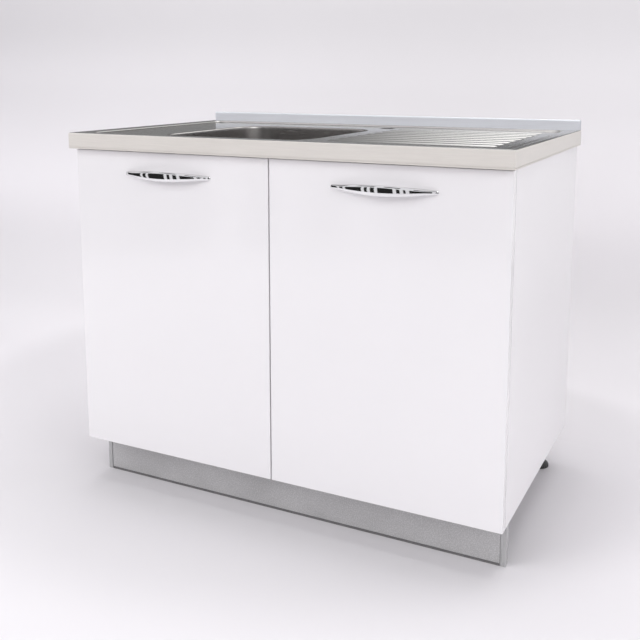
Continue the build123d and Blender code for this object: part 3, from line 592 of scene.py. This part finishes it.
# the strap's thickness at the middle, widths at middle and tips, thickness at the tips, length of each foot;
# then how the tips are rounded and thinned, how far grid lines gather there, and the section: where in the
# thickness it is widest, how its front mixes two powers of sine, and all the powers that square it off
handleShape = {"strap": .0052, "middleWidth": .021, "tipWidth": .0072, "tipThickness": .0016, "foot": .025,
               "tipRound": .0035, "tipThin": .35, "gather": .35, "stations": 121, "sides": 36,
               "widest": .35, "crown": .55, "doorGap": .00002,
               "powers": {"across": .8, "crown": .9, "shoulder": .35, "back": .45}}


# one grid: along the bow, and round its section. The outer face is an arc from tip to tip, the inner face
# a shorter arc that meets the door at the feet
def makeHandle(side, s):
    low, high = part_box("handle_" + side)
    half, reach = (high.x - low.x) / 2, high.y - low.y
    even = np.linspace(-1, 1, s["stations"])
    along = np.sin(even * np.pi / 2) * s["gather"] + even * (1 - s["gather"])
    x = along * half
    rise = reach - s["tipThickness"]
    outerRadius = (half ** 2 + rise ** 2) / (2 * rise)
    outer = reach - outerRadius + np.sqrt(outerRadius ** 2 - x ** 2)
    grip, lift = half - s["foot"], reach - s["strap"]
    innerRadius = (grip ** 2 + lift ** 2) / (2 * lift)
    inner = np.maximum(lift - innerRadius + np.sqrt(np.maximum(innerRadius ** 2 - x ** 2, 0)), 0)
    inner = np.where(np.abs(x) > grip, 0, inner)
    tip = np.sqrt(1 - np.clip((np.abs(x) - half + s["tipRound"]) / s["tipRound"], 0, 1) ** 2)
    width = (s["tipWidth"] + (s["middleWidth"] - s["tipWidth"]) * (1 - along ** 2)) * tip
    thick = (outer - inner) * (s["tipThin"] + (1 - s["tipThin"]) * tip)

    angle = np.arange(s["sides"]) * 2 * np.pi / s["sides"]
    c, sn, powers = np.cos(angle), np.sin(angle), s["powers"]
    across = np.sign(c) * np.abs(c) ** powers["across"]
    bulge = s["crown"] * np.abs(sn) ** powers["crown"] + (1 - s["crown"]) * np.abs(sn) ** powers["shoulder"]
    share = s["widest"] + np.where(sn > 0, (1 - s["widest"]) * bulge,
                                   -s["widest"] * np.abs(sn) ** powers["back"])
    z = (low.z + high.z) / 2 + width[:, None] / 2 * across
    y = high.y - (inner[:, None] + thick[:, None] * share)
    points = np.stack([np.broadcast_to((low.x + high.x) / 2 + x[:, None], z.shape), y, z], -1)
    points = np.clip(points, [low.x, low.y, low.z], [high.x, high.y - s["doorGap"], high.z]).reshape(-1, 3)
    points, quads = weld(points, gridQuads(s["stations"], s["sides"], closeCols=True))
    if closedVolume(points, quads) < 0:
        quads = quads[:, ::-1]
    makePiece("bowHandle_" + side, points, quads, side + "_door", "handle_chrome", ["handle_" + side],
              sharp=60)


for side in ("left", "right"):
    makeHandle(side, handleShape)
print("handles done")


# ---- turned plastic and cast pieces ----

def middleOf(low, high):
    return (low.x + high.x) / 2, (low.y + high.y) / 2


# foot: a disc with a rounded edge, a coned shoulder and the stem that goes up in the socket, as corners of
# (radius, height); grips are pressed into the disc over the span of heights
footShape = {"corners": [(.0245, 0), (.025, .0035), (.0235, .0085), (.0172, .013), (.016, .0155),
                         (.016, .0194), (.0108, .0198)],
             "round": .0016, "steps": 108, "grips": 18, "depth": .0016, "span": (.001, .008), "sharpness": .6}


def makeFoot(place, s):
    low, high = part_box("foot_" + place)
    corners = s["corners"] + [(s["corners"][-1][0], high.z)]
    outline = np.vstack([[[0, 0]], roundedOutline(corners, s["round"]), [[0, high.z]]])
    points, quads = turned(outline, middleOf(low, high), s["steps"], s["grips"], s["depth"], s["span"],
                           s["sharpness"])
    makePiece("screwFoot_" + place, points, quads, place + "_foot", "leg_black", ["foot_" + place])


for place in ("front_left", "front_right", "rear_left", "rear_right"):
    makeFoot(place, footShape)

# ring nuts: an outer wall with grips from low up to a bevel of (width, height), bored through
nutShape = {"bevel": (.0015, .004), "round": .001, "steps": 128, "low": .001, "sharpness": .5,
            "nuts": {"trapInletNut": ("trap_nut", 16, .0022, .020),    # node, grips, their depth, bore
                     "wasteRingNut": ("waste_nut", 12, .004, .042)}}


def makeRingNut(name, node, grips, depth, bore, s):
    low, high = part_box(node)
    r = (high.x - low.x) / 2
    inset, drop = s["bevel"]
    corners = [(bore, low.z), (r, low.z), (r, high.z - drop), (r - inset, high.z), (bore, high.z)]
    points, quads = turned(roundedOutline(corners, s["round"]), middleOf(low, high), s["steps"], grips, depth,
                           (low.z + s["low"], high.z - drop), s["sharpness"])
    makePiece(name, points, quads, "cabinet", "trap_white", [node])


for name, nut in nutShape["nuts"].items():
    makeRingNut(name, *nut, nutShape)

# bottle: a cup with a gripped lower half and a dished base. Outside and inside are (inset, height) from the
# foot of its outer wall, the dish is its radius with the heights under and over it, then those in its middle
bottleShape = {"outside": [(.006, 0), (.002, .004), (.0015, .03), (0, .034)], "rim": .0025,
               "inside": [(.0025, .036), (.0045, .006)], "dish": (.02, .001, .0035), "poles": (.002, .0045),
               "round": .0015, "steps": 120, "grips": 20, "depth": .0015, "span": (.005, .029),
               "sharpness": .5}


def makeBottle(s):
    low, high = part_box("trap_cup")
    r = (high.x - low.x) / 2
    dishR, under, over = s["dish"]
    corners = ([(dishR, low.z + under)] + [(r - inset, low.z + height) for inset, height in s["outside"]]
               + [(r, high.z), (r - s["rim"], high.z)]
               + [(r - inset, low.z + height) for inset, height in s["inside"]] + [(dishR, low.z + over)])
    bottom, top = (low.z + height for height in s["poles"])
    outline = np.vstack([[[0, bottom]], roundedOutline(corners, s["round"]), [[0, top]]])
    span = [low.z + height for height in s["span"]]
    points, quads = turned(outline, middleOf(low, high), s["steps"], s["grips"], s["depth"], span,
                           s["sharpness"])
    makePiece("trapBottle", points, quads, "trap_bottle", "trap_white", ["trap_cup"])


makeBottle(bottleShape)

# strainer: floor, turn and wall are how many rings each has. In the slotted rings every other run is left
# out, and each of shifts is a ring from which the slots move on, or back, by half their pitch. The knob's
# corners are (radius, depth below the top)
strainerShape = {"steps": 96, "slots": 12, "sheet": .0008, "bend": .005, "lip": .001, "hole": .0035,
                 "rings": {"floor": 16, "turn": 6, "wall": 14},
                 "slotted": [3, 4, 7, 8, 11, 12, *range(24, 33)], "shifts": [5, 9, 13],
                 "knob": [(.004, .012), (.009, .009), (.009, .003), (.0063, 0)], "knobRound": .002,
                 "knobSteps": 48, "knobLift": .0001}


# a cup of sheet carried round an upright axis with its slots left out, and a turned knob on a stem
def makeStrainer(s):
    low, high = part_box("strainer_basket")
    centre, r, rings = middleOf(low, high), (high.x - low.x) / 2, s["rings"]
    a = np.linspace(0, np.pi / 2, rings["turn"] + 1)[1:]
    radius = np.concatenate([np.linspace(s["hole"], r - s["bend"], rings["floor"]),
                             r - s["bend"] * (1 - np.sin(a)), np.full(rings["wall"], r), [r - s["lip"]]])
    height = np.concatenate([np.full(rings["floor"], low.z), low.z + s["bend"] * (1 - np.cos(a)),
                             np.linspace(low.z + s["bend"], high.z - s["lip"], rings["wall"] + 1)[1:],
                             [high.z]])
    angle = np.arange(s["steps"])[:, None] * 2 * np.pi / s["steps"]
    points = np.stack([centre[0] + radius * np.cos(angle), centre[1] + radius * np.sin(angle),
                       np.broadcast_to(height, (s["steps"], len(height)))], -1).reshape(-1, 3)
    quads = gridQuads(s["steps"], len(radius), closeRows=True)
    run, ring = np.divmod(np.arange(len(quads)), len(radius) - 1)
    width = s["steps"] // s["slots"]
    shifted = np.searchsorted(s["shifts"], ring, side="right") % 2 * (width // 2)
    quads = quads[~(np.isin(ring, s["slotted"]) & ((run + shifted) % width < width // 2))]
    used, quads = np.unique(quads, return_inverse=True)
    points, quads = points[used], quads.reshape(-1, 4)
    if sheetNormals(points, quads)[points[:, 2] < low.z + 1e-6, 2].sum() > 0:
        quads = quads[:, ::-1]
    points, quads = thicken(points, quads, s["sheet"])
    bottom = low.z + s["knobLift"]
    corners = [(s["knob"][0][0], bottom)] + [(across, high.z - depth) for across, depth in s["knob"]]
    outline = np.vstack([[[0, bottom]], roundedOutline(corners, s["knobRound"]), [[0, high.z]]])
    knobPoints, knobQuads = turned(outline, centre, s["knobSteps"])
    points, quads = np.vstack([points, knobPoints]), np.vstack([quads, knobQuads + len(points)])
    makePiece("slottedStrainer", points, quads, "strainer", slotOf["strainer_basket"], ["strainer_basket"])


makeStrainer(strainerShape)
print("turned pieces done")


# ---- studio ----

studio = {
    "paper": (.85, .832, .856), "paperRough": .9, "paperDrift": (.006, .8),
    "wallDistance": .55, "curve": .42, "curveSteps": 24, "halfWidth": 9.0, "reach": 6.0,
    # painted shade on the paper by height
    "paintedHeightShade": [(0, .94), (.12, .89), (.25, .89), (.50, 1.0), (.90, .83), (1.15, .73)],    # height, lightness
    # painted shade from side to side
    "paintedSideShade": ((-1.4, 1.2), (1.03, .975)),    # from this X to this X, the lightness goes from this to this
    # painted shadow on the floor round the unit: its middle, how much each axis counts, from and to radius,
    # lightness
    "disc": ((-.30, .40, 0), (1, 1, 12), (.92, 1.16), .91),
    "fade": (2.3, 3.8),    # distances over which the paper passes into the light all round
    "ground": (.86, .85, .872), "groundStrength": .58, "seenStrength": .92,
    "softboxes": {    # place, aim, size, power, and whether steel and chrome mirror it
        "keySoftbox": ((-2.2, -3.0, 2.3), (0, 0, .45), (2.2, 2.0), 61, False),
        "fillSoftbox": ((3.1, -1.9, 1.7), (0, 0, .5), (1.8, 1.8), 41, True),
        "topSoftbox": ((.1, .1, 2.6), (.1, .08, 0), (2.6, 1.4), 33, False),
    },
    # focal length, and the row that the camera's axis meets, are in pixels of a square picture
    "camera": {"place": (.869, -1.7775, .945), "turn": 26.68, "tilt": 8.58, "focal": 874, "middle": 205,
               "picture": 640, "sensor": 36},
}
# upright cards behind the unit that only reflections show: lower edge, height, how bright at the bottom and
# at the top. Over leftSpan along X they pass from the even leftGlow into that
cards = {
    "left": -4.2, "right": 1.9, "y": 1.28, "leftGlow": .24, "leftSpan": (-.75, .35),
    "rows": {"darkStrip": (.842, .26, .13, .09), "risingStrip": (1.102, .22, .09, 1.8),
             "brightSheet": (1.322, 2.4, 1.8, 2.2)},
}
# dark uprights round the front, from and to in degrees, in a low row and a high row of (bottom, top)
flags = {"radius": 3.1, "glow": .02,
         "rows": [(.02, 1.15, [(-80, -61), (-58, -54), (-51, -33), (-30, -27), (-24, -20), (-17, -3), (0, 3),
                               (6, 8), (11, 29), (32, 35), (38, 42), (46, 75)]),
                  (1.7, 2.6, [(-72, -56), (-42, -22), (-12, 4), (16, 44)])]}


# 1 for the rays that show the background: to the camera, mirrored or through glass
def addSeen(tree):
    path = addNode(tree, "ShaderNodeLightPath").outputs
    first = worked(tree, "MAXIMUM", path["Is Camera Ray"], path["Is Glossy Ray"])
    return worked(tree, "MAXIMUM", first, path["Is Transmission Ray"])


# painted lightness by height, read off a ramp whose top is the last height given
def addShade(tree, height, levels):
    top = levels[-1][0]
    paintedHeightShade = addNode(tree, "ShaderNodeValToRGB", None, {0: worked(tree, "DIVIDE", height, top)})
    ramp = paintedHeightShade.color_ramp
    ramp.interpolation = "EASE"
    ramp.elements.remove(ramp.elements[1])
    for level, light in levels:
        stop = ramp.elements.new(level / top) if level else ramp.elements[0]
        stop.color = (light, light, light, 1)
    return paintedHeightShade.outputs["Color"]


# paper that is there from its front only, so that a view from behind looks through it. Its colour carries
# painted shade by height and from side to side, and a painted shadow on the floor round the unit; far out it
# glows with the colour of the light all round
def makePaper(s):
    material, tree, shader = startMaterial("backdropPaper")
    shader.inputs["Roughness"].default_value = s["paperRough"]
    spread, size = s["paperDrift"]
    tint = addGroup(tree, drift, {"Colour": (*s["paper"], 1), "Spread": spread, "Size": size})["Colour"]
    place = objectPlace(tree)
    axes = splitPlace(tree, place)
    # painted shade from side to side, and a painted shadow on the floor round the unit
    paintedSideShade = mapped(tree, axes["X"], *s["paintedSideShade"])
    middle, weights, span, light = s["disc"]
    offset = workedVector(tree, "SUBTRACT", place, middle)
    radius = lengthOf(tree, workedVector(tree, "MULTIPLY", offset, weights))
    both = worked(tree, "MULTIPLY", paintedSideShade, mapped(tree, radius, span, (light, 1.0), True))
    # painted shade by height
    shaded = workedVector(tree, "MULTIPLY", tint, addShade(tree, axes["Z"], s["paintedHeightShade"]))
    join(tree, scaled(tree, shaded, both), shader.inputs["Base Color"])

    fade = mapped(tree, lengthOf(tree, place), s["fade"], (0.0, 1.0), True)
    far = worked(tree, "MULTIPLY", fade, addSeen(tree))
    glow = addNode(tree, "ShaderNodeEmission", None,
                   {"Color": (*s["ground"], 1), "Strength": s["seenStrength"]})
    faded = addNode(tree, "ShaderNodeMixShader", None, {0: far, 1: shader.outputs[0], 2: glow.outputs[0]})
    facing = addNode(tree, "ShaderNodeNewGeometry").outputs["Backfacing"]
    clear = addNode(tree, "ShaderNodeBsdfTransparent").outputs[0]
    either = addNode(tree, "ShaderNodeMixShader", None, {0: facing, 1: faded.outputs[0], 2: clear})
    join(tree, either.outputs[0], tree.nodes["Material Output"].inputs["Surface"])
    return material


# a section of (y, z) corners carried along X
def makeSweep(name, section, halfWidth, material):
    xs = np.array([-halfWidth, 0, halfWidth])
    points = np.stack([np.repeat(xs[:, None], len(section), 1), np.tile(section[:, 0], (len(xs), 1)),
                       np.tile(section[:, 1], (len(xs), 1))], -1).reshape(-1, 3)
    sheet = addSurface(name, points, gridQuads(len(xs), len(section)), material)
    return sheet


# a flat floor, and a quarter round on it that rises to the wall; the steel mirrors the cards, not the wall
def makeBackdrop(s):
    back = cadBox[1].y + s["wallDistance"]
    paper = makePaper(s)
    makeSweep("floorSheet", np.array([[-s["reach"], 0], [s["reach"], 0]]), s["halfWidth"], paper)
    a = np.linspace(0, np.pi / 2, s["curveSteps"])
    rise = np.stack([back - s["curve"] * (1 - np.sin(a)), s["curve"] * (1 - np.cos(a))], -1)
    wall = makeSweep("wallSheet", np.vstack([rise, [[back, s["reach"]]]]), s["halfWidth"], paper)
    wall.visible_glossy = False


# even light all round; to the camera and in reflections it is as bright as the paper
def makeWorld(s):
    world = bpy.data.worlds.new("studioLight")
    bpy.context.scene.world = world
    world.use_nodes = True
    tree = world.node_tree
    ground = tree.nodes["Background"]
    ground.inputs["Color"].default_value = (*s["ground"], 1)
    strength = mapped(tree, addSeen(tree), (0.0, 1.0), (s["groundStrength"], s["seenStrength"]))
    join(tree, strength, ground.inputs["Strength"])


# upright stage cards of four corners each, there for glossy rays only. They glow from low at the bottom of
# zSpan to high at its top, and evenly by leftGlow on the left
def makeReflector(name, points, zSpan, low, high, leftGlow, leftSpan):
    material, tree, shader = startMaterial(name)
    tree.nodes.remove(shader)
    axes = splitPlace(tree, objectPlace(tree))
    glow = mapped(tree, axes["Z"], zSpan, (low, high))
    side = mapped(tree, axes["X"], leftSpan, (0.0, 1.0), True)
    both = addNode(tree, "ShaderNodeMix", {"data_type": "FLOAT"}, {0: side, 2: leftGlow, 3: glow}).outputs[0]
    emission = addNode(tree, "ShaderNodeEmission", None, {"Strength": both})
    join(tree, emission.outputs[0], tree.nodes["Material Output"].inputs["Surface"])
    card = addSurface(name, points, np.arange(len(points)).reshape(-1, 4), material)
    card.visible_camera = card.visible_diffuse = card.visible_shadow = False


def makeReflectors(s, uprights):
    for name, (bottom, height, low, high) in s["rows"].items():
        x = np.array([s["left"], s["right"], s["right"], s["left"]])
        z = np.array([bottom, bottom, bottom + height, bottom + height])
        points = np.stack([x, np.full(4, s["y"]), z], -1)
        makeReflector(name, points, (bottom, bottom + height), low, high, s["leftGlow"], s["leftSpan"])
    rows = [(*np.radians(span), low, high) for low, high, spans in uprights["rows"] for span in spans]
    start, end, low, high = np.array(rows).T
    angle = np.stack([start, end, end, start], -1)
    z = np.stack([low, low, high, high], -1)
    r, glow = uprights["radius"], uprights["glow"]
    points = np.stack([r * np.sin(angle), -r * np.cos(angle), z], -1).reshape(-1, 3)
    makeReflector("darkUprights", points, (0, 1), glow, glow, glow, s["leftSpan"])


def makeSoftbox(name, place, target, size, power, mirrored):
    light = bpy.data.lights.new(name, "AREA")
    light.shape = "RECTANGLE"
    light.size, light.size_y = size
    light.energy = power
    holder = bpy.data.objects.new(name, light)
    holder.location = place
    holder.visible_glossy = mirrored
    holder.rotation_euler = (Vector(target) - Vector(place)).to_track_quat("-Z", "Y").to_euler()
    bpy.context.scene.collection.objects.link(holder)


def makeCamera(s):
    turn, tilt = radians(s["turn"]), radians(s["tilt"])
    right = Vector((np.cos(turn), np.sin(turn), 0))
    ahead = Vector((-np.sin(turn) * np.cos(tilt), np.cos(turn) * np.cos(tilt), -np.sin(tilt)))
    up = right.cross(ahead)
    data = bpy.data.cameras.new("camera")
    data.sensor_width = s["sensor"]
    data.lens = s["focal"] / s["picture"] * s["sensor"]
    data.shift_y = (s["middle"] - s["picture"] / 2) / s["picture"]
    camera = bpy.data.objects.new("camera", data)
    camera.matrix_world = Matrix.Translation(s["place"]) @ Matrix((right, up, -ahead)).transposed().to_4x4()
    bpy.context.scene.collection.objects.link(camera)
    bpy.context.scene.camera = camera


makeBackdrop(studio)
makeWorld(studio)
for name, box in studio["softboxes"].items():
    makeSoftbox(name, *box)
makeReflectors(cards, flags)
makeCamera(studio["camera"])
bpy.context.scene.view_settings.view_transform = "Standard"
print("studio done")
